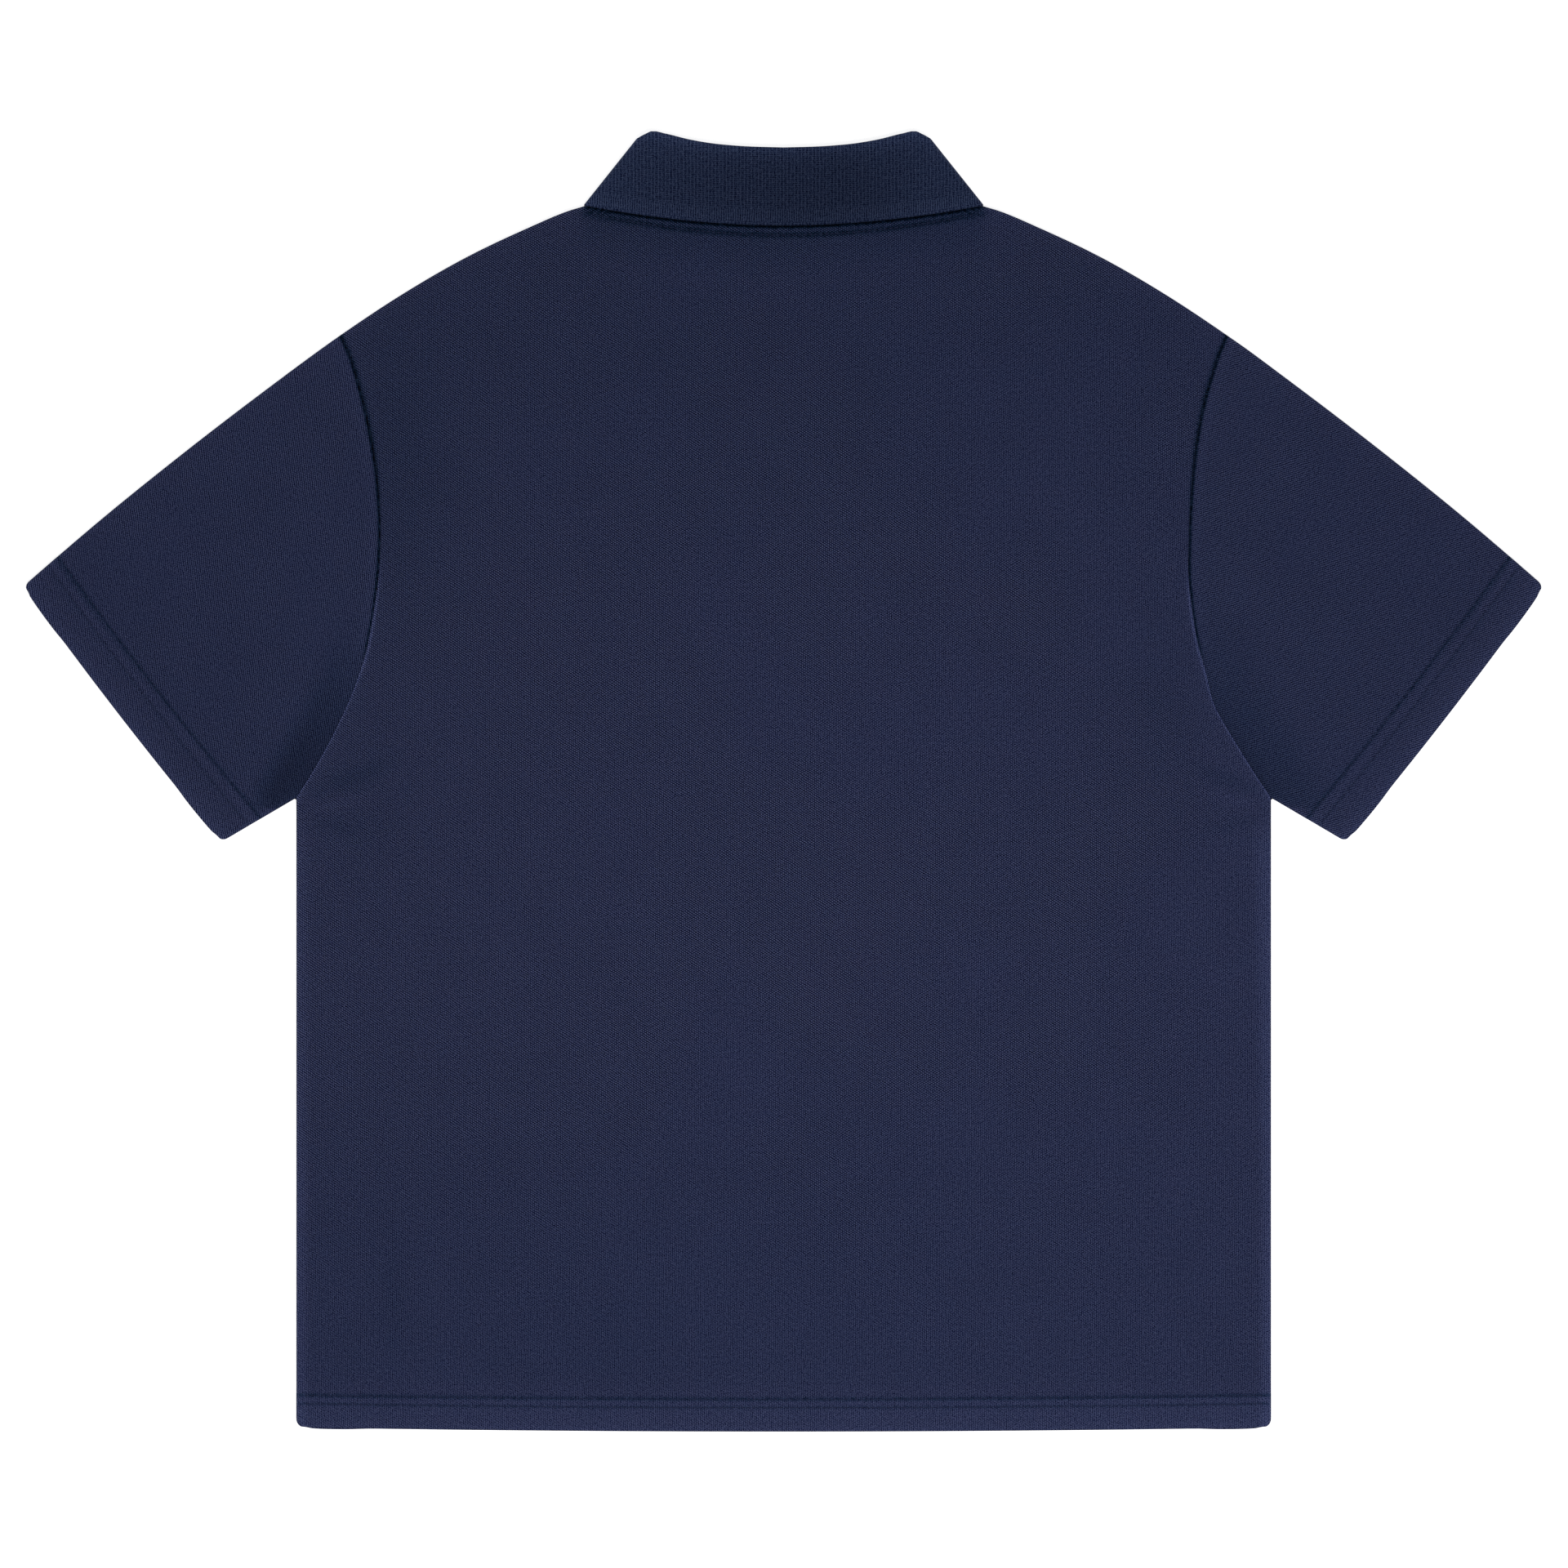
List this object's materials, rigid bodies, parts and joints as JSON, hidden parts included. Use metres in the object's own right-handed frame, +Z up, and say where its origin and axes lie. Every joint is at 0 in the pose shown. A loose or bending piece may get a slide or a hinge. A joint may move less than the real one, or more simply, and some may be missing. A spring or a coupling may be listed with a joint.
{
  "type": "polo shirt",
  "caption": "Short-sleeved navy polo shirt with a flat-knit collar and a buttoned placket, laid flat on its front with its back up.",
  "frame": {"origin": "centre of the bounding box's underside, on the surface that the shirt lies on", "axes": "+Z up, away from the surface; +X across the shirt from sleeve to sleeve; +Y from hem to collar"},
  "size_m": [0.8732, 0.7488, 0.0095],
  "materials": {
    "pique": "navy cotton pique, matte",
    "knit": "darker navy flat knit, matte",
    "button": "navy, satin"
  },
  "bodies": {
    "root": {"back_panel": "pique", "front_panel": "pique", "sleeve_left": "pique", "sleeve_right": "pique", "collar": "knit", "placket_over": "pique", "placket_under": "pique", "button_1": "button", "button_2": "button", "button_3": "button"}
  },
  "joints": []
}
